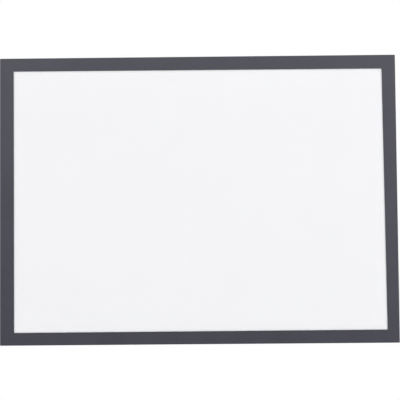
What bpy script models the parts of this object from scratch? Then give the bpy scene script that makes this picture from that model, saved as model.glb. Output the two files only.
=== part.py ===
"""Magnetic document frame for one landscape A3 sheet, modelled shut.

+X runs to the right and +Z up, and the front faces -Y. The wall side of the rear magnets
lies in the plane y = 0, and the origin is in the middle of that plane. The back carries the
rear magnets, the closing strips, a backing card and the sheet. The cover carries the clear
window, its charcoal border and the cover magnets, and it lifts about a film hinge along the
top edge.
"""

import math

import bmesh
import bpy
from mathutils import Vector

# Sizes are in millimetres, and Blender's unit is the metre
MM = 0.001

# The sheet, and the pocket that the strips leave round it
SHEET_WIDTH = 420.0
SHEET_HEIGHT = 297.0
SHEET_THICKNESS = 0.2
SHEET_SIDE_CLEARANCE = 1.0
SHEET_SEAT_GAP = 0.3

# The backing card fills the pocket's depth, so that the sheet lies close behind the window
CARD_MARGIN = 1.5
SHEET_CARD_GAP = 0.1
SHEET_WINDOW_GAP = 0.2

# The magnetic and steel-filled strips
STRIP_WIDTH = 10.0
STRIP_BUTT_GAP = 0.3
REAR_MAGNET_THICKNESS = 1.0
COVER_MAGNET_THICKNESS = 0.6

# The films
PANEL_THICKNESS = 0.4
WINDOW_THICKNESS = 0.3
BORDER_THICKNESS = 0.3
SHEET_OVERLAP = 2.3
CORNER_RADIUS = 1.0
CORNER_FACETS = 6

# How far the cover reaches past the strips, and past the back on its three free edges
COVER_MARGIN = 1.5
LIFT_EDGE = 0.8

# The folded film hinge
HINGE_FILM_THICKNESS = 0.2
HINGE_FOLD_GAP = 0.2
HINGE_END_MARGIN = 2.0
CREASE_RISE = 0.2
CREASE_CLEARANCE = 0.1

# Adhesive between the layers, and what is left between magnet and closing strip
GLUE_LINE = 0.1
CLOSING_GAP = 0.1

# Outlines, worked out from the sheet outwards
POCKET_WIDTH = SHEET_WIDTH + 2 * SHEET_SIDE_CLEARANCE
POCKET_HEIGHT = SHEET_HEIGHT + 2 * SHEET_SIDE_CLEARANCE
RING_WIDTH = POCKET_WIDTH + 2 * STRIP_WIDTH
RING_HEIGHT = POCKET_HEIGHT + 2 * STRIP_WIDTH
COVER_WIDTH = RING_WIDTH + 2 * COVER_MARGIN
COVER_HEIGHT = RING_HEIGHT + 2 * COVER_MARGIN
PANEL_WIDTH = COVER_WIDTH - 2 * LIFT_EDGE
PANEL_HEIGHT = COVER_HEIGHT - LIFT_EDGE
VIEW_WIDTH = SHEET_WIDTH - 2 * SHEET_OVERLAP
VIEW_HEIGHT = SHEET_HEIGHT - 2 * SHEET_OVERLAP

# Depths of the layers, counted forwards from the wall
PANEL_DEPTH = REAR_MAGNET_THICKNESS + GLUE_LINE
PANEL_FRONT = PANEL_DEPTH + PANEL_THICKNESS
BACK_LEAF_DEPTH = PANEL_FRONT + GLUE_LINE
COVER_LEAF_DEPTH = BACK_LEAF_DEPTH + HINGE_FILM_THICKNESS + HINGE_FOLD_GAP
COVER_MAGNET_DEPTH = COVER_LEAF_DEPTH + HINGE_FILM_THICKNESS + GLUE_LINE
WINDOW_DEPTH = COVER_MAGNET_DEPTH + COVER_MAGNET_THICKNESS + GLUE_LINE
BORDER_DEPTH = WINDOW_DEPTH + WINDOW_THICKNESS + GLUE_LINE
CREASE_DEPTH = COVER_LEAF_DEPTH - HINGE_FOLD_GAP / 2
CREASE_HEIGHT = COVER_HEIGHT / 2 + CREASE_RISE

# The sheet lies behind the window, and the card takes up what is left behind it
SHEET_DEPTH = WINDOW_DEPTH - SHEET_WINDOW_GAP - SHEET_THICKNESS
CARD_DEPTH = PANEL_FRONT + GLUE_LINE
CARD_THICKNESS = SHEET_DEPTH - SHEET_CARD_GAP - CARD_DEPTH

# The closing strips fill the room beside the folded hinge, less the closing gap
CLOSING_STRIP_DEPTH = PANEL_FRONT + GLUE_LINE
CLOSING_STRIP_THICKNESS = COVER_MAGNET_DEPTH - CLOSING_GAP - CLOSING_STRIP_DEPTH

# The border's cutter runs past both of its faces
CUT_ALLOWANCE = 1.0


def clear_scene():
    for item in list(bpy.data.objects):
        bpy.data.objects.remove(item, do_unlink=True)


def new_collection(name):
    collection = bpy.data.collections.new(name)
    bpy.context.scene.collection.children.link(collection)
    return collection


def new_material(name, colour, roughness, metallic=0.0, alpha=1.0):
    material = bpy.data.materials.new(name)
    material.use_nodes = True
    shader = material.node_tree.nodes["Principled BSDF"]
    shader.inputs["Base Color"].default_value = (*colour, 1.0)
    shader.inputs["Roughness"].default_value = roughness
    shader.inputs["Metallic"].default_value = metallic
    shader.inputs["Alpha"].default_value = alpha
    material.diffuse_color = (*colour, alpha)
    return material


def add_plate(name, size, centre, depth, material, collection, corner_radius=0.0, carrier=None):
    """A flat upright plate: size is (width, height, thickness), centre is (x, z), and depth is
    where its wall-side face lies, counted forwards from the wall."""
    width, height, thickness = (length * MM for length in size)
    shape = bmesh.new()
    bmesh.ops.create_cube(shape, size=1.0)
    bmesh.ops.scale(shape, vec=Vector((width, thickness, height)), verts=shape.verts)
    if corner_radius:
        upright = [edge for edge in shape.edges if runs_through(edge)]
        bmesh.ops.bevel(
            shape,
            geom=upright,
            offset=corner_radius * MM,
            offset_type="OFFSET",
            segments=CORNER_FACETS,
            profile=0.5,
            affect="EDGES",
        )
    mesh = bpy.data.meshes.new(name)
    shape.to_mesh(mesh)
    shape.free()
    plate = bpy.data.objects.new(name, mesh)
    mesh.materials.append(material)
    collection.objects.link(plate)
    place = Vector((centre[0] * MM, -depth * MM - thickness / 2, centre[1] * MM))
    if carrier:
        plate.parent = carrier
        place -= carrier.location
    plate.location = place
    return plate


def runs_through(edge):
    """True for an edge that runs through the plate, from its front to its back."""
    start, end = (vertex.co for vertex in edge.verts)
    return math.isclose(start.x, end.x) and math.isclose(start.z, end.z)


def add_strip_ring(prefix, sides, thickness, depth, material, collection, carrier=None):
    """Straight strips round the pocket: the long ones run the ring's full width, and the side
    ones butt against them."""
    ring_x = (POCKET_WIDTH + STRIP_WIDTH) / 2
    ring_z = (POCKET_HEIGHT + STRIP_WIDTH) / 2
    long_strip = (RING_WIDTH, STRIP_WIDTH, thickness)
    side_top = POCKET_HEIGHT / 2 - STRIP_BUTT_GAP
    side_strip = (STRIP_WIDTH, 2 * side_top, thickness)
    layout = {
        "top": (long_strip, (0.0, ring_z)),
        "bottom": (long_strip, (0.0, -ring_z)),
        "left": (side_strip, (-ring_x, 0.0)),
        "right": (side_strip, (ring_x, 0.0)),
    }
    for side in sides:
        size, centre = layout[side]
        name = f"{prefix}_{side}"
        add_plate(name, size, centre, depth, material, collection, carrier=carrier)


def add_back(collection):
    """The half that clings to the wall."""
    film = new_material("back_film", (0.62, 0.63, 0.65), 0.45)
    magnet = new_material("rear_magnet", (0.035, 0.030, 0.028), 0.75)
    steel_filled = new_material("closing_strip", (0.050, 0.050, 0.055), 0.55, metallic=0.2)
    add_strip_ring(
        "rear_magnet",
        ("top", "bottom", "left", "right"),
        REAR_MAGNET_THICKNESS,
        0.0,
        magnet,
        collection,
    )
    add_plate(
        "back_panel",
        (PANEL_WIDTH, PANEL_HEIGHT, PANEL_THICKNESS),
        (0.0, LIFT_EDGE / 2),
        PANEL_DEPTH,
        film,
        collection,
        corner_radius=CORNER_RADIUS,
    )
    add_strip_ring(
        "closing_strip",
        ("bottom", "left", "right"),
        CLOSING_STRIP_THICKNESS,
        CLOSING_STRIP_DEPTH,
        steel_filled,
        collection,
    )


def add_card(collection):
    """The grey backing card, stuck to the panel inside the strips."""
    greyboard = new_material("backing_card", (0.42, 0.41, 0.39), 0.85)
    add_plate(
        "backing_card",
        (POCKET_WIDTH - 2 * CARD_MARGIN, POCKET_HEIGHT - 2 * CARD_MARGIN, CARD_THICKNESS),
        (0.0, 0.0),
        CARD_DEPTH,
        greyboard,
        collection,
    )


def add_sheet(collection):
    """The white sheet leans on the card, just above the bottom strips."""
    paper = new_material("paper", (0.88, 0.88, 0.90), 0.80)
    sheet_z = (SHEET_HEIGHT - POCKET_HEIGHT) / 2 + SHEET_SEAT_GAP
    add_plate(
        "document_sheet",
        (SHEET_WIDTH, SHEET_HEIGHT, SHEET_THICKNESS),
        (0.0, sheet_z),
        SHEET_DEPTH,
        paper,
        collection,
    )


def add_hinge(collection, carrier):
    """One film folded along the crease: a leaf on the panel, and a leaf behind the cover."""
    film = new_material("hinge_film", (0.060, 0.060, 0.068), 0.50)
    leaf_bottom = POCKET_HEIGHT / 2
    leaf_top = CREASE_HEIGHT - CREASE_CLEARANCE
    leaf_width = PANEL_WIDTH - 2 * HINGE_END_MARGIN
    size = (leaf_width, leaf_top - leaf_bottom, HINGE_FILM_THICKNESS)
    centre = (0.0, (leaf_top + leaf_bottom) / 2)
    add_plate("hinge_leaf_back", size, centre, BACK_LEAF_DEPTH, film, collection)
    add_plate(
        "hinge_leaf_cover",
        size,
        centre,
        COVER_LEAF_DEPTH,
        film,
        collection,
        carrier=carrier,
    )


def add_cover(collection, cutters, carrier):
    """The half that lifts: magnets, clear window and charcoal border."""
    magnet = new_material("cover_magnet", (0.035, 0.030, 0.028), 0.75)
    clear = new_material("clear_film", (0.95, 0.96, 0.97), 0.25, alpha=0.2)
    charcoal = new_material("charcoal_foil", (0.085, 0.083, 0.099), 0.42)
    add_strip_ring(
        "cover_magnet",
        ("top", "bottom", "left", "right"),
        COVER_MAGNET_THICKNESS,
        COVER_MAGNET_DEPTH,
        magnet,
        collection,
        carrier=carrier,
    )
    add_plate(
        "window_film",
        (COVER_WIDTH, COVER_HEIGHT, WINDOW_THICKNESS),
        (0.0, 0.0),
        WINDOW_DEPTH,
        clear,
        collection,
        corner_radius=CORNER_RADIUS,
        carrier=carrier,
    )
    border = add_plate(
        "border_foil",
        (COVER_WIDTH, COVER_HEIGHT, BORDER_THICKNESS),
        (0.0, 0.0),
        BORDER_DEPTH,
        charcoal,
        collection,
        corner_radius=CORNER_RADIUS,
        carrier=carrier,
    )
    cutter = add_plate(
        "view_cutter",
        (VIEW_WIDTH, VIEW_HEIGHT, BORDER_THICKNESS + 2 * CUT_ALLOWANCE),
        (0.0, 0.0),
        BORDER_DEPTH - CUT_ALLOWANCE,
        charcoal,
        cutters,
        carrier=carrier,
    )
    cutter.hide_render = True
    cutter.display_type = "WIRE"
    cut = border.modifiers.new("view_opening", "BOOLEAN")
    cut.operation = "DIFFERENCE"
    cut.solver = "EXACT"
    cut.object = cutter


def add_hinge_line(collection):
    """The empty on the crease, which carries the whole cover."""
    crease = bpy.data.objects.new("cover_hinge", None)
    crease.empty_display_type = "SINGLE_ARROW"
    crease.empty_display_size = STRIP_WIDTH * MM
    crease.location = (0.0, -CREASE_DEPTH * MM, CREASE_HEIGHT * MM)
    collection.objects.link(crease)
    return crease


def build_frame():
    clear_scene()
    parts = new_collection("magnetic_document_frame")
    cutters = new_collection("cutters")
    crease = add_hinge_line(parts)
    add_back(parts)
    add_card(parts)
    add_sheet(parts)
    add_hinge(parts, crease)
    add_cover(parts, cutters, crease)


build_frame()
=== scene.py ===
import math

import bpy
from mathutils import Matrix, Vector


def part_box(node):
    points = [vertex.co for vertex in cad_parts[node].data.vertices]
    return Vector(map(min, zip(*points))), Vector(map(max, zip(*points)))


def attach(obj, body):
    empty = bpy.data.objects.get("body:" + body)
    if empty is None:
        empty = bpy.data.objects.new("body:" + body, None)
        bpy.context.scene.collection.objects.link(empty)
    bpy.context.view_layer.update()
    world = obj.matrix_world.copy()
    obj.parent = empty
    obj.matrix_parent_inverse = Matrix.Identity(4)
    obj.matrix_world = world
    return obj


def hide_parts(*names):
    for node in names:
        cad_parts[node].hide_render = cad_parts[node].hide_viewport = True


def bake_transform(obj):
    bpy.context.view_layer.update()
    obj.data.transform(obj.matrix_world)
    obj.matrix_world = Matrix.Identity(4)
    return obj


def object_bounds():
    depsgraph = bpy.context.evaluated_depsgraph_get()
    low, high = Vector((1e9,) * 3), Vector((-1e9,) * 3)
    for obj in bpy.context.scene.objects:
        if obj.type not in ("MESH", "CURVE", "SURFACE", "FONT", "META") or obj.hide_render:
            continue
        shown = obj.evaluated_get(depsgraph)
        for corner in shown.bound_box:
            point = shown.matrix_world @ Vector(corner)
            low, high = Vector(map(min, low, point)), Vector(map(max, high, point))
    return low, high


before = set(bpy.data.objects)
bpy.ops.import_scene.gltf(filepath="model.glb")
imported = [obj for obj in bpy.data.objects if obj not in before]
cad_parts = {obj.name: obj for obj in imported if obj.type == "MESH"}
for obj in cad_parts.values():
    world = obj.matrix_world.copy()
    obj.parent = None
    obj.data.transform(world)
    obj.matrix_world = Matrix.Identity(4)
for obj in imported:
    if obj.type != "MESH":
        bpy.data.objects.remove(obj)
cad_box = [list(corner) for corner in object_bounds()]


# Rear magnets: four lengths of flexible ferrite strip, cut from a roll. They are dull,
# brownish black, and faintly drawn along their length by the rollers that they came
# through. Each is stuck to the wall side of the panel with a thin milky tape.
ACROSS = 0
UPRIGHT = 2
WAYS = {ACROSS: "across", UPRIGHT: "upright"}
MAGNET_SIDES = {ACROSS: ("top", "bottom"), UPRIGHT: ("left", "right")}

STRIP_STATION = 0.012
STRIP_EDGE_RADIUS = 0.00014
STRIP_EDGE_FACETS = 3
GLUE_LINE = 0.0001
TAPE_INSET = 0.0003
TAPE_CLEARANCE = 0.00001
TAPE_EDGE_RADIUS = 0.00002
FILM_EDGE_FACETS = 2
CORNER_FACETS = 6
SAME_PLACE = 0.000001
SHARP_EDGE = math.radians(60.0)
SMOOTH_EDGE = math.radians(35.0)
UNEVENNESS_LENGTH = 0.09
UNEVENNESS_DEPTH = 0.00006
UNEVENNESS_OCTAVES = 1

# A pattern's number is how many of its grains or clouds lie side by side in a metre, and
# a relief is the depth that the pattern gives the surface
MAGNET_DARK = (0.024, 0.0225, 0.0215)
MAGNET_PALE = (0.040, 0.037, 0.035)
MAGNET_GRAIN = 3400.0
MAGNET_MARKS = 1100.0
MAGNET_MARKS_DRAW = 0.02
MAGNET_CLOUD = 55.0
MAGNET_ROUGHNESS = (0.60, 0.82)
MAGNET_RELIEF = 0.00004
TAPE_MILKY = (0.74, 0.73, 0.68)
TAPE_CLOUDY = (0.62, 0.60, 0.54)
TAPE_CLOUD = 260.0
TAPE_ROUGHNESS = (0.30, 0.50)


class Wire:
    """A value in a material's nodes. Python's operators on it add Math nodes. A wire with no
    socket has no value yet, and only adds nodes."""

    MIDDLE = (0.35, 0.65)
    PEAKS = (0.66, 0.74)

    def __init__(self, tree, socket=None):
        self.tree = tree
        self.socket = socket

    def node(self, kind, settings, inputs, output=0):
        """Adds any node. The inputs are given by name or number, as values or wires."""
        made = self.tree.nodes.new(kind)
        for name, value in settings.items():
            setattr(made, name, value)
        for name, value in inputs.items():
            feed(made.inputs[name], value)
        return Wire(self.tree, made.outputs[output])

    def math(self, operation, *values):
        inputs = dict(enumerate(values))
        return self.node("ShaderNodeMath", {"operation": operation}, inputs)

    def __add__(self, other):
        return self.math("ADD", self, other)

    __radd__ = __add__

    def __sub__(self, other):
        return self.math("SUBTRACT", self, other)

    def __rsub__(self, other):
        return self.math("SUBTRACT", other, self)

    def __mul__(self, other):
        return self.math("MULTIPLY", self, other)

    __rmul__ = __mul__

    def __pow__(self, other):
        return self.math("POWER", self, other)

    def __rpow__(self, other):
        return self.math("POWER", other, self)

    def __abs__(self):
        return self.math("ABSOLUTE", self)

    def between(self, low, high):
        """Spreads a value of 0 to 1 from low to high."""
        return self * (high - low) + low

    def rising(self, low, high):
        """0 below low, 1 above high, and smooth in between."""
        settings = {"interpolation_type": "SMOOTHSTEP"}
        inputs = {"Value": self, "From Min": low, "From Max": high}
        return self.node("ShaderNodeMapRange", settings, inputs)

    def full(self):
        """A pattern's values keep near the middle. This spreads them over 0 to 1."""
        return self.rising(*self.MIDDLE)

    def peaks(self):
        """1 at a pattern's few highest places, and 0 everywhere else."""
        return self.rising(*self.PEAKS)


def feed(socket, value):
    """Links a wire to the socket, or sets the socket's own number or colour."""
    if isinstance(value, Wire):
        value.tree.links.new(value.socket, socket)
    elif socket.type == "RGBA":
        socket.default_value = (*value, 1.0)
    else:
        socket.default_value = value


class Finish:
    """A new material with one Principled shader, and the patterns that drive it."""

    FINE = {"Detail": 3.0, "Roughness": 0.6}
    SOFT = {"Detail": 2.0, "Roughness": 0.5}
    SIDE_TO_FACE = (0.35, 0.75)

    def __init__(self, name, place="Object"):
        self.material = bpy.data.materials.new(name)
        self.material.use_nodes = True
        self.nodes = self.material.node_tree.nodes
        self.shader = self.nodes["Principled BSDF"]
        self.surface = Wire(self.material.node_tree, self.shader.outputs["BSDF"])
        self.start = Wire(self.material.node_tree)
        self.place = self.start.node("ShaderNodeTexCoord", {}, {}, place)

    def axis(self, letter, vector=None):
        """One part of a vector, which is the place in metres where none is given."""
        inputs = {"Vector": vector or self.place}
        return self.start.node("ShaderNodeSeparateXYZ", {}, inputs, letter)

    def drawn_out(self, way, share):
        """The place, shrunk to a share one way, which draws a pattern out that way."""
        scale = [share if axis == way else 1.0 for axis in range(3)]
        settings = {"operation": "MULTIPLY"}
        return self.start.node("ShaderNodeVectorMath", settings, {0: self.place, 1: scale})

    def noise(self, per_metre, place, look):
        inputs = {"Vector": place or self.place, "Scale": per_metre, **look}
        return self.start.node("ShaderNodeTexNoise", {}, inputs, "Fac")

    def grain(self, per_metre, place=None):
        return self.noise(per_metre, place, self.FINE)

    def cloud(self, per_metre, place=None):
        return self.noise(per_metre, place, self.SOFT)

    def mixed(self, share, first, second):
        inputs = {0: share, 6: first, 7: second}
        return self.start.node("ShaderNodeMix", {"data_type": "RGBA"}, inputs, 2)

    def layered(self, share, under, over):
        """Shows a share of one shader over another."""
        inputs = {0: share, 1: under, 2: over}
        return self.start.node("ShaderNodeMixShader", {}, inputs)

    def bump(self, height, distance):
        """Raises the surface by distance metres where height is 1."""
        return self.start.node("ShaderNodeBump", {}, {"Height": height, "Distance": distance})

    def cut_sides(self):
        """1 on a film's narrow cut sides, and 0 on its front and rear."""
        normal = self.start.node("ShaderNodeTexCoord", {}, {}, "Normal")
        return 1.0 - abs(self.axis("Y", normal)).rising(*self.SIDE_TO_FACE)

    def done(self, **sockets):
        """Feeds the shader's sockets, named with _ for each space."""
        for name, value in sockets.items():
            feed(self.shader.inputs[name.replace("_", " ")], value)
        return self.material

    def shown(self, surface):
        """Shows another surface than the Principled shader's alone."""
        feed(self.nodes["Material Output"].inputs["Surface"], surface)
        return self.material


def magnet_finish(way):
    """Ferrite rubber: fine grains, and faint marks drawn along the strip's length."""
    finish = Finish(f"ferrite_rubber_{WAYS[way]}")
    marks = finish.cloud(MAGNET_MARKS, finish.drawn_out(way, MAGNET_MARKS_DRAW))
    grain = finish.grain(MAGNET_GRAIN)
    cloud = finish.cloud(MAGNET_CLOUD)
    tone = (grain * 0.6 + cloud * 0.25 + marks * 0.15).full()
    return finish.done(
        Base_Color=finish.mixed(tone, MAGNET_DARK, MAGNET_PALE),
        Roughness=(grain * 0.5 + cloud * 0.5).between(*MAGNET_ROUGHNESS),
        Normal=finish.bump(grain * 0.8 + marks * 0.2, MAGNET_RELIEF),
        IOR=1.5,
    )


def adhesive_finish(name, cloudy, clearer):
    """A thin film of adhesive, cloudy in patches, and pressed flat between two faces."""
    finish = Finish(name)
    cloud = finish.grain(TAPE_CLOUD).full()
    return finish.done(
        Base_Color=finish.mixed(cloud, cloudy, clearer),
        Roughness=cloud.between(*TAPE_ROUGHNESS),
        IOR=1.47,
    )


def only(piece):
    """Leaves just this piece selected and active, or none, in object mode."""
    if bpy.context.object and bpy.context.object.mode != "OBJECT":
        bpy.ops.object.mode_set(mode="OBJECT")
    bpy.ops.object.select_all(action="DESELECT")
    if piece:
        bpy.context.view_layer.objects.active = piece
        piece.select_set(True)


def sized(name, scale, place):
    """Names the object just added, and puts its size and place in its mesh."""
    piece = bpy.context.object
    piece.name = name
    piece.data.name = name
    piece.scale = scale
    piece.location = place
    bpy.ops.object.transform_apply(location=True, rotation=True, scale=True)
    return piece


def add_block(name, low, high):
    only(None)
    bpy.ops.mesh.primitive_cube_add(size=1.0)
    return sized(name, high - low, (low + high) / 2)


def edit_edges(piece, test):
    """In edit mode, selects the edges whose two ends pass the test."""
    only(piece)
    mesh = piece.data
    for group in (mesh.vertices, mesh.edges, mesh.polygons):
        group.foreach_set("select", [False] * len(group))
    for edge in mesh.edges:
        edge.select = test(*(mesh.vertices[end].co for end in edge.vertices))
    bpy.context.tool_settings.mesh_select_mode = (False, True, False)
    bpy.ops.object.mode_set(mode="EDIT")


def through(start, end):
    """True for an edge that runs from a film's front to its rear."""
    return abs(start.x - end.x) < SAME_PLACE and abs(start.z - end.z) < SAME_PLACE


def slice_along(piece, way, step):
    """Cuts the piece across its length one way, at even stations up to step apart."""
    places = [vertex.co[way] for vertex in piece.data.vertices]
    low, length = min(places), max(places) - min(places)
    count = math.ceil(length / step)
    normal = [float(axis == way) for axis in range(3)]
    only(piece)
    bpy.ops.object.mode_set(mode="EDIT")
    for station in range(1, count):
        bpy.ops.mesh.select_all(action="SELECT")
        point = [(low + length * station / count) * part for part in normal]
        bpy.ops.mesh.bisect(plane_co=point, plane_no=normal)
    bpy.ops.object.mode_set(mode="OBJECT")


def apply_modifier(piece, kind, **settings):
    modifier = piece.modifiers.new(kind.lower(), kind)
    for name, value in settings.items():
        setattr(modifier, name, value)
    only(piece)
    bpy.ops.object.modifier_apply(modifier=modifier.name)


def soften(piece, radius, facets):
    """Rounds the piece's sharp edges."""
    apply_modifier(
        piece,
        "BEVEL",
        width=radius,
        segments=facets,
        limit_method="ANGLE",
        angle_limit=SHARP_EDGE,
    )


def flex(piece):
    """Bends the piece with the whole laminate, which never lies perfectly flat. The shading
    keeps the wide faces flat right up to their soft edges."""
    apply_modifier(
        piece,
        "DISPLACE",
        texture=unevenness,
        texture_coords="LOCAL",
        direction="Y",
        strength=UNEVENNESS_DEPTH,
    )
    only(piece)
    bpy.ops.object.shade_smooth_by_angle(angle=SMOOTH_EDGE)
    apply_modifier(piece, "WEIGHTED_NORMAL", keep_sharp=True)


def dress(piece, material, body, node=None):
    """Gives the piece its finish and its body, and hides the node that it takes the place of, if
    it has one.
    """
    piece.data.materials.append(material)
    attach(piece, body)
    if node:
        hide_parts(node)


def copied(piece, from_node, node):
    """A copy of the piece with a mesh of its own, moved from one node's place to another's."""
    only(piece)
    bpy.ops.object.duplicate()
    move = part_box(node)[0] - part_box(from_node)[0]
    return sized(piece.name.replace(from_node, node), (1.0, 1.0, 1.0), move)


def cut_film(name, low, high, corner, station, edge_radius):
    """A film with rounded corners and soft edges, sliced finely enough to bend."""
    piece = add_block(name, low, high)
    edit_edges(piece, through)
    bpy.ops.mesh.bevel(offset=corner, segments=CORNER_FACETS, affect="EDGES")
    slice_along(piece, ACROSS, station)
    slice_along(piece, UPRIGHT, station)
    soften(piece, edge_radius, FILM_EDGE_FACETS)
    return piece


def cut_tape(node, side):
    """The adhesive film that fills the glue line on the front or the rear of a piece."""
    low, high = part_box(node)
    rear = low.y if side == "front" else high.y + GLUE_LINE
    low = Vector((low.x + TAPE_INSET, rear - GLUE_LINE + TAPE_CLEARANCE, low.z + TAPE_INSET))
    high = Vector((high.x - TAPE_INSET, rear - TAPE_CLEARANCE, high.z - TAPE_INSET))
    return cut_film(f"{node}_tape", low, high, TAPE_INSET, STRIP_STATION, TAPE_EDGE_RADIUS)


def lay_tape(tape, body):
    flex(tape)
    dress(tape, milky_tape, body)


def cut_strip(node, way):
    """A length of the roll. The rollers rounded its long edges."""
    strip = add_block(f"{node}_strip", *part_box(node))
    slice_along(strip, way, STRIP_STATION)
    soften(strip, STRIP_EDGE_RADIUS, STRIP_EDGE_FACETS)
    return strip


def stick_strips(group, sides, taped_side, body, finishes):
    """Cuts one strip and its tape for each way that strips run, copies them to the other
    side of the frame, and sticks them all down."""
    for way, places in sides.items():
        first, *others = (f"{group}_{side}" for side in places)
        cut = {first: (cut_strip(first, way), cut_tape(first, taped_side))}
        for node in others:
            cut[node] = [copied(piece, first, node) for piece in cut[first]]
        for node, (strip, tape) in cut.items():
            flex(strip)
            dress(strip, finishes[way], body, node)
            lay_tape(tape, body)


unevenness = bpy.data.textures.new("unevenness", "CLOUDS")
unevenness.noise_scale = UNEVENNESS_LENGTH
unevenness.noise_depth = UNEVENNESS_OCTAVES
milky_tape = adhesive_finish("milky_tape", TAPE_CLOUDY, TAPE_MILKY)
magnet_finishes = {way: magnet_finish(way) for way in WAYS}
stick_strips("rear_magnet", MAGNET_SIDES, "front", "back", magnet_finishes)


# Back panel: a stiff plastic film in a pale grey, with a fine sand grain on both faces and
# paler cut sides. All that the back carries is stuck to it.
PANEL_CORNER = 0.001
FILM_EDGE_RADIUS = 0.00005
FILM_STATION = 0.014
PANEL_PALE = (0.64, 0.65, 0.67)
PANEL_GREY = (0.60, 0.61, 0.63)
PANEL_CUT = (0.74, 0.75, 0.77)
PANEL_GRAIN = 1500.0
PANEL_CLOUD = 14.0
PANEL_ROUGHNESS = (0.38, 0.56)
PANEL_RELIEF = 0.00005


def panel_finish():
    finish = Finish("pale_sand_film")
    grain = finish.grain(PANEL_GRAIN)
    cloud = finish.cloud(PANEL_CLOUD)
    face = finish.mixed((grain * 0.8 + cloud * 0.2).full(), PANEL_GREY, PANEL_PALE)
    return finish.done(
        Base_Color=finish.mixed(finish.cut_sides(), face, PANEL_CUT),
        Roughness=(grain * 0.5 + cloud * 0.5).between(*PANEL_ROUGHNESS),
        Normal=finish.bump(grain, PANEL_RELIEF),
        IOR=1.49,
    )


panel_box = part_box("back_panel")
panel = cut_film("back_panel_film", *panel_box, PANEL_CORNER, FILM_STATION, FILM_EDGE_RADIUS)
flex(panel)
dress(panel, panel_finish(), "back", "back_panel")


# Closing strips: steel-filled rubber under a satin vinyl skin, taped along the panel's
# three free edges. The cover's magnets pull onto them. A few steel grains glint through.
CLOSING_SIDES = {ACROSS: ("bottom",), UPRIGHT: ("left", "right")}
CLOSING_DARK = (0.034, 0.034, 0.038)
CLOSING_PALE = (0.062, 0.062, 0.068)
CLOSING_MARKS = 900.0
CLOSING_MARKS_DRAW = 0.05
CLOSING_ROUGHNESS = (0.34, 0.52)
CLOSING_RELIEF = 0.00001
STEEL_GRAIN = 4200.0
STEEL_GLINT = (0.136, 0.136, 0.141)
STEEL_METALLIC = 0.5


def closing_finish(way):
    finish = Finish(f"steel_filled_vinyl_{WAYS[way]}")
    marks = finish.cloud(CLOSING_MARKS, finish.drawn_out(way, CLOSING_MARKS_DRAW))
    grain = finish.cloud(STEEL_GRAIN)
    glint = grain.peaks()
    skin = finish.mixed((marks * 0.6 + grain * 0.4).full(), CLOSING_DARK, CLOSING_PALE)
    return finish.done(
        Base_Color=finish.mixed(glint, skin, STEEL_GLINT),
        Roughness=marks.between(*CLOSING_ROUGHNESS),
        Metallic=glint * STEEL_METALLIC,
        Normal=finish.bump(marks * 0.5 + grain * 0.5, CLOSING_RELIEF),
        IOR=1.5,
    )


closing_finishes = {way: closing_finish(way) for way in WAYS}
stick_strips("closing_strip", CLOSING_SIDES, "rear", "back", closing_finishes)


# Backing card: a thin greyboard, taped to the panel inside the strips. It fills the pocket,
# so that the document lies flat and close behind the window.
CARD_CORNER = 0.0006
CARD_EDGE_RADIUS = 0.00012
BOARD_GREY = (0.36, 0.35, 0.33)
BOARD_PALE = (0.47, 0.46, 0.44)
BOARD_PULP = 420.0
BOARD_CLOUD = 30.0
BOARD_ROUGHNESS = (0.84, 0.96)
BOARD_RELIEF = 0.00003
FLECK_DARK = (0.265, 0.255, 0.242)
FLECKS = 1300.0
FLECKS_DRAW = 0.4


def board_finish():
    """Greyboard: pulp in two greys, with dark flecks of fibre."""
    finish = Finish("greyboard")
    pulp = finish.grain(BOARD_PULP)
    cloud = finish.cloud(BOARD_CLOUD)
    fleck = finish.cloud(FLECKS, finish.drawn_out(ACROSS, FLECKS_DRAW)).peaks()
    board = finish.mixed((pulp * 0.6 + cloud * 0.4).full(), BOARD_GREY, BOARD_PALE)
    return finish.done(
        Base_Color=finish.mixed(fleck, board, FLECK_DARK),
        Roughness=pulp.between(*BOARD_ROUGHNESS),
        Normal=finish.bump(pulp, BOARD_RELIEF),
        IOR=1.4,
    )


card_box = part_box("backing_card")
card = cut_film("backing_card_board", *card_box, CARD_CORNER, FILM_STATION, CARD_EDGE_RADIUS)
flex(card)
dress(card, board_finish(), "back", "backing_card")
lay_tape(cut_tape("backing_card", "rear"), "back")


# Document sheet: a plain white A3 sheet of paper, loose between the card and the window. It
# bows a little towards the window in the middle, as paper does between two flat faces.
SHEET_CORNER = 0.0002
SHEET_EDGE_RADIUS = 0.00002
SHEET_STATION = 0.009
SHEET_BOW = 0.00006
OPENING_HALF = (0.2077, 0.1462)
PAPER_WHITE = (0.885, 0.885, 0.898)
PAPER_SHADE = (0.868, 0.868, 0.883)
PAPER_FIBRE = 1800.0
PAPER_FELT = 240.0
PAPER_CLOUD = 18.0
PAPER_ROUGHNESS = (0.82, 0.94)
PAPER_RELIEF = 0.00002


def bow(piece, depth):
    """Brings the middle forwards by depth, falling away to nothing at the opening."""
    for vertex in piece.data.vertices:
        out = (min(1.0, abs(vertex.co[way]) / half) for way, half in zip(WAYS, OPENING_HALF))
        vertex.co.y -= depth * math.prod(math.cos(share * math.pi / 2) ** 2 for share in out)


def paper_finish():
    finish = Finish("white_paper")
    fibre = finish.grain(PAPER_FIBRE)
    felt = finish.cloud(PAPER_FELT)
    cloud = finish.cloud(PAPER_CLOUD)
    tone = (fibre * 0.4 + felt * 0.3 + cloud * 0.3).full()
    return finish.done(
        Base_Color=finish.mixed(tone, PAPER_SHADE, PAPER_WHITE),
        Roughness=fibre.between(*PAPER_ROUGHNESS),
        Normal=finish.bump(fibre * 0.7 + felt * 0.3, PAPER_RELIEF),
        IOR=1.4,
    )


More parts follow.
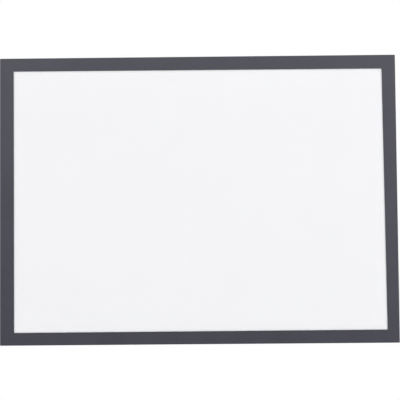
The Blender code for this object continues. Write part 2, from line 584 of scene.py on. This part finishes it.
sheet_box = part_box("document_sheet")
sheet = cut_film("paper_sheet", *sheet_box, SHEET_CORNER, SHEET_STATION, SHEET_EDGE_RADIUS)
bow(sheet, SHEET_BOW)
flex(sheet)
dress(sheet, paper_finish(), "back", "document_sheet")


# Hinge film: one strip of dark film, folded over on itself. One leaf is taped to the
# panel's top edge and the other behind the cover, and the fold has gone pale with bending.
HINGE_STATION = 0.016
LEAF_STATION = 0.0015
FOLD_STEPS = 12
HINGE_DARK = (0.050, 0.050, 0.057)
HINGE_PALE = (0.072, 0.072, 0.080)
HINGE_GRAIN = 2400.0
HINGE_CLOUD = 60.0
HINGE_ROUGHNESS = (0.36, 0.56)
HINGE_RELIEF = 0.00001
CREASE_COLOUR = (0.135, 0.135, 0.142)
CREASE_REACH = (0.00016, 0.0008)
CREASE_CRAZE = 1500.0
CREASE_PALING = (0.45, 1.0)
CREASE_ROUGHER = 0.12

back_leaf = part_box("hinge_leaf_back")
cover_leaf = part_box("hinge_leaf_cover")
leaf_top = back_leaf[1].z
leaf_thickness = back_leaf[1].y - back_leaf[0].y
leaf_height = back_leaf[1].z - back_leaf[0].z
back_middle = (back_leaf[0].y + back_leaf[1].y) / 2
cover_middle = (cover_leaf[0].y + cover_leaf[1].y) / 2
fold_middle = (back_middle + cover_middle) / 2
fold_radius = (back_middle - cover_middle) / 2


def at_leaf_top(start, end):
    return min(start.z, end.z) > leaf_top - SAME_PLACE


def unroll(piece):
    """Maps the folded film as it lay flat, in metres from the middle of its fold."""
    flat = piece.data.uv_layers.active
    flat.name = "flat"
    for loop in piece.data.loops:
        point = piece.data.vertices[loop.vertex_index].co
        turned = math.atan2(max(0.0, point.z - leaf_top), point.y - fold_middle) - math.pi / 2
        down = max(0.0, leaf_top - point.z)
        over = turned * fold_radius + math.copysign(down, turned)
        flat.data[loop.index].uv = (point.x, over)


def fold_hinge():
    """Spins the back leaf's top edge over the crease, and draws the cover's leaf down."""
    only(None)
    bpy.ops.mesh.primitive_plane_add(size=1.0, rotation=(math.pi / 2, 0.0, 0.0))
    width = back_leaf[1].x - back_leaf[0].x
    place = (0.0, back_middle, leaf_top - leaf_height / 2)
    piece = sized("hinge_film_folded", (width, leaf_height, 1.0), place)
    edit_edges(piece, at_leaf_top)
    crease = (0.0, fold_middle, leaf_top)
    bpy.ops.mesh.spin(steps=FOLD_STEPS, angle=-math.pi, center=crease, axis=(1.0, 0.0, 0.0))
    bpy.ops.mesh.extrude_edges_move(TRANSFORM_OT_translate={"value": (0.0, 0.0, -leaf_height)})
    bpy.ops.mesh.select_all(action="SELECT")
    bpy.ops.mesh.remove_doubles(threshold=SAME_PLACE)
    bpy.ops.mesh.normals_make_consistent(inside=False)
    slice_along(piece, ACROSS, HINGE_STATION)
    slice_along(piece, UPRIGHT, LEAF_STATION)
    unroll(piece)
    apply_modifier(piece, "SOLIDIFY", thickness=leaf_thickness, offset=0.0)
    return piece


def hinge_finish():
    """Dark film on the unrolled map, where V counts the metres from the crease."""
    finish = Finish("folded_hinge_film", "UV")
    grain = finish.grain(HINGE_GRAIN)
    cloud = finish.cloud(HINGE_CLOUD)
    crease = 1.0 - abs(finish.axis("Y")).rising(*CREASE_REACH)
    paled = crease * finish.grain(CREASE_CRAZE).between(*CREASE_PALING)
    film = finish.mixed((grain * 0.5 + cloud * 0.5).full(), HINGE_DARK, HINGE_PALE)
    return finish.done(
        Base_Color=finish.mixed(paled, film, CREASE_COLOUR),
        Roughness=grain.between(*HINGE_ROUGHNESS) + crease * CREASE_ROUGHER,
        Normal=finish.bump(grain, HINGE_RELIEF),
        IOR=1.5,
    )


hinge = fold_hinge()
flex(hinge)
hinge.data.materials.append(hinge_finish())
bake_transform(hinge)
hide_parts("hinge_leaf_back", "hinge_leaf_cover")
lay_tape(cut_tape("hinge_leaf_back", "rear"), "back")
lay_tape(cut_tape("hinge_leaf_cover", "front"), "cover")


# Cover magnets: four more lengths of the ferrite strip, thinner than the rear ones, taped
# behind the window film where the border hides them.
stick_strips("cover_magnet", MAGNET_SIDES, "front", "cover", magnet_finishes)


# Window film: a clear stiff film as large as the whole cover, with the document behind it
# and the border in front of it. It is faintly matt, and domes a little over the sheet.
WINDOW_BOW = 0.0002
CLEAR_TINT = (0.988, 0.988, 0.988)
GLOSS_TINT = (0.96, 0.965, 0.97)
WINDOW_CLOUD = 35.0
WINDOW_FROST = 2600.0
WINDOW_ROUGHNESS = (0.10, 0.20)
WINDOW_RELIEF = 0.000004
WINDOW_HAZE = 0.012
GLOSS_HEAD_ON = 0.018
GLOSS_POWER = 5.0


def window_finish():
    """Mostly clear. What shows of the film itself is a soft gloss and a little haze."""
    finish = Finish("clear_film")
    cloud = finish.cloud(WINDOW_CLOUD)
    frost = finish.cloud(WINDOW_FROST)
    finish.done(
        Base_Color=GLOSS_TINT,
        Metallic=1.0,
        Roughness=(frost * 0.6 + cloud * 0.4).between(*WINDOW_ROUGHNESS),
        Normal=finish.bump(frost, WINDOW_RELIEF),
    )
    facing = finish.start.node("ShaderNodeLayerWeight", {}, {"Blend": 0.5}, "Facing")
    gloss = (facing**GLOSS_POWER).between(GLOSS_HEAD_ON, 1.0)
    clear = finish.start.node("ShaderNodeBsdfTransparent", {}, {"Color": CLEAR_TINT})
    return finish.shown(finish.layered(gloss + cloud * WINDOW_HAZE, clear, finish.surface))


window_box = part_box("window_film")
window = cut_film("window_clear_film", *window_box, PANEL_CORNER, FILM_STATION, FILM_EDGE_RADIUS)
bow(window, WINDOW_BOW)
flex(window)
dress(window, window_finish(), "cover", "window_film")


# Border: a satin charcoal vinyl foil in one piece, stuck over the window film with a smoky
# adhesive. Its view opening is cut along a rule, so its bars differ in width a little.
OPENING_CORNERS = (
    Vector((-0.20695, 0.0, 0.14630)),
    Vector((0.20735, 0.0, 0.14560)),
    Vector((0.20920, 0.0, -0.14635)),
    Vector((-0.20669, 0.0, -0.14694)),
)
BORDER_STATION = 0.010
BORDER_EDGE_FACETS = 3
CHARCOAL_DARK = (0.0196, 0.0193, 0.0334)
CHARCOAL_PALE = (0.0260, 0.0255, 0.0421)
CHARCOAL_CUT = (0.0451, 0.0444, 0.0619)
CHARCOAL_GRAIN = 1900.0
CHARCOAL_CLOUD = 26.0
CHARCOAL_ROUGHNESS = (0.30, 0.42)
CHARCOAL_RELIEF = 0.00003
SMOKY_DARK = (0.075, 0.075, 0.080)
SMOKY_PALE = (0.115, 0.115, 0.120)


def cut_opening(piece, trim):
    """Cuts the flat piece along the opening's four sides, and takes its middle out."""
    only(piece)
    bpy.ops.object.mode_set(mode="EDIT")
    for start, end in zip(OPENING_CORNERS, OPENING_CORNERS[1:] + OPENING_CORNERS[:1]):
        along = end - start
        outwards = Vector((-along.z, 0.0, along.x)).normalized()
        bpy.ops.mesh.select_all(action="SELECT")
        bpy.ops.mesh.bisect(plane_co=start + outwards * trim, plane_no=outwards)
    only(piece)
    middle = min(piece.data.polygons, key=lambda face: face.center.length)
    for face in piece.data.polygons:
        face.select = face.index == middle.index
    bpy.context.tool_settings.mesh_select_mode = (False, False, True)
    bpy.ops.object.mode_set(mode="EDIT")
    bpy.ops.mesh.delete(type="FACE")


def cut_ring(name, front, rear, trim, edge_radius):
    """A foil with the opening in it. It stays back from the border's edges by trim."""
    half = (foil_high - foil_low) / 2 - Vector((trim, 0.0, trim))
    middle = Vector((0.0, (front + rear) / 2, (foil_low.z + foil_high.z) / 2))

    def outer_corner(start, end):
        off_x = abs(start.x - middle.x) - half.x
        off_z = abs(start.z - middle.z) - half.z
        return through(start, end) and max(abs(off_x), abs(off_z)) < SAME_PLACE

    only(None)
    bpy.ops.mesh.primitive_plane_add(size=2.0, rotation=(math.pi / 2, 0.0, 0.0))
    piece = sized(name, (half.x, half.z, 1.0), middle)
    cut_opening(piece, trim)
    apply_modifier(piece, "SOLIDIFY", thickness=rear - front, offset=0.0)
    edit_edges(piece, outer_corner)
    bpy.ops.mesh.bevel(offset=PANEL_CORNER, segments=CORNER_FACETS, affect="EDGES")
    slice_along(piece, ACROSS, BORDER_STATION)
    slice_along(piece, UPRIGHT, BORDER_STATION)
    soften(piece, edge_radius, BORDER_EDGE_FACETS)
    flex(piece)
    return piece


def charcoal_finish():
    """Satin vinyl: an even sand grain, a faint cloudiness, and a paler cut side."""
    finish = Finish("charcoal_vinyl")
    grain = finish.grain(CHARCOAL_GRAIN)
    cloud = finish.cloud(CHARCOAL_CLOUD)
    face = finish.mixed((grain * 0.6 + cloud * 0.4).full(), CHARCOAL_DARK, CHARCOAL_PALE)
    return finish.done(
        Base_Color=finish.mixed(finish.cut_sides(), face, CHARCOAL_CUT),
        Roughness=(grain * 0.5 + cloud * 0.5).between(*CHARCOAL_ROUGHNESS),
        Normal=finish.bump(grain, CHARCOAL_RELIEF),
        IOR=1.54,
    )


foil_low, foil_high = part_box("border_foil")
border = cut_ring("border_charcoal_foil", foil_low.y, foil_high.y, 0.0, FILM_EDGE_RADIUS)
dress(border, charcoal_finish(), "cover", "border_foil")

tape_front = foil_high.y + TAPE_CLEARANCE
tape_rear = foil_high.y + GLUE_LINE - TAPE_CLEARANCE
adhesive = cut_ring("border_foil_adhesive", tape_front, tape_rear, TAPE_INSET, TAPE_EDGE_RADIUS)
dress(adhesive, adhesive_finish("smoky_adhesive", SMOKY_DARK, SMOKY_PALE), "cover")


# Floor: a pale round floor well below the frame, which hangs on nothing that shows. Far
# out, and from below, it is as white as the background.
FLOOR_DROP = 0.32
FLOOR_RADIUS = 5.0
FLOOR_SIDES = 96
FLOOR_FADE = (0.7, 1.1)
FLOOR_PALE = (0.80, 0.80, 0.81)
FLOOR_PALER = (0.82, 0.82, 0.83)
FLOOR_SPECKS = 300.0
FLOOR_ROUGHNESS = (0.6, 0.8)
WHITE = (1.0, 1.0, 1.0)


def floor_finish():
    """Matt and pale near the frame, and plain white to the camera further out."""
    finish = Finish("pale_floor")
    speck = finish.grain(FLOOR_SPECKS)
    finish.done(
        Base_Color=finish.mixed(speck.full(), FLOOR_PALE, FLOOR_PALER),
        Roughness=speck.between(*FLOOR_ROUGHNESS),
    )
    node = finish.start.node
    out = node("ShaderNodeVectorMath", {"operation": "LENGTH"}, {0: finish.place}, "Value")
    below = node("ShaderNodeNewGeometry", {}, {}, "Backfacing")
    seen = node("ShaderNodeLightPath", {}, {}, "Is Camera Ray")
    glow = node("ShaderNodeEmission", {}, {"Color": WHITE})
    clear = node("ShaderNodeBsdfTransparent", {}, {})
    top = finish.layered(out.rising(*FLOOR_FADE) * seen, finish.surface, glow)
    return finish.shown(finish.layered(below, top, clear))


only(None)
bpy.ops.mesh.primitive_circle_add(vertices=FLOOR_SIDES, radius=FLOOR_RADIUS, fill_type="NGON")
floor = sized("floor", (1.0, 1.0, 1.0), (0.0, 0.0, cad_box[0][2] - FLOOR_DROP))
floor.data.materials.append(floor_finish())


# Light: a wide soft box in front and above, weaker ones to the sides and behind, and an even
# white room, which the camera, the glossy films and the clear film show as plain white.
ROOM_LIGHT = 0.68
SOFTBOXES = {
    "key": ((0.0, -3.0, 1.9), (3.4, 2.0), 25.7),
    "side_left": ((-1.9, -2.4, 0.75), (1.3, 1.8), 11.2),
    "side_right": ((1.9, -2.4, 0.15), (1.3, 1.8), 18.8),
    "rear": ((0.3, 1.9, 0.8), (2.0, 1.4), 22.0),
}


def add_softbox(name, place, size, watts):
    lamp = bpy.data.lights.new(name, "AREA")
    lamp.shape = "RECTANGLE"
    lamp.size, lamp.size_y = size
    lamp.energy = watts
    box = bpy.data.objects.new(name, lamp)
    box.location = place
    box.rotation_euler = (-Vector(place)).to_track_quat("-Z", "Y").to_euler()
    box.visible_camera = False
    bpy.context.collection.objects.link(box)


for name, softbox in SOFTBOXES.items():
    add_softbox(name, *softbox)

room = bpy.data.worlds.new("white_room")
room.use_nodes = True
bpy.context.scene.world = room
air = Wire(room.node_tree)
camera_ray = air.node("ShaderNodeLightPath", {}, {}, "Is Camera Ray")
glossy_ray = air.node("ShaderNodeLightPath", {}, {}, "Is Glossy Ray")
clear_ray = air.node("ShaderNodeLightPath", {}, {}, "Is Transmission Ray")
white_share = air.node("ShaderNodeClamp", {}, {"Value": camera_ray + glossy_ray + clear_ray})
background = room.node_tree.nodes["Background"]
feed(background.inputs["Color"], WHITE)
feed(background.inputs["Strength"], white_share.between(ROOM_LIGHT, 1.0))


# Camera: square on to the frame, a little below its middle and looking slightly up, with a
# normal lens, as the photograph was taken.
LENS = 63.18
SENSOR = 36.0
CAMERA_PLACE = (0.00692, -0.78905, -0.02513)
CAMERA_TURN = (91.7971, 0.5122, 0.3792)

lens = bpy.data.cameras.new("camera")
lens.sensor_width = SENSOR
lens.lens = LENS
camera = bpy.data.objects.new("camera", lens)
camera.location = CAMERA_PLACE
camera.rotation_euler = [math.radians(angle) for angle in CAMERA_TURN]
bpy.context.collection.objects.link(camera)
bpy.context.scene.camera = camera
bpy.context.scene.view_settings.view_transform = "Standard"
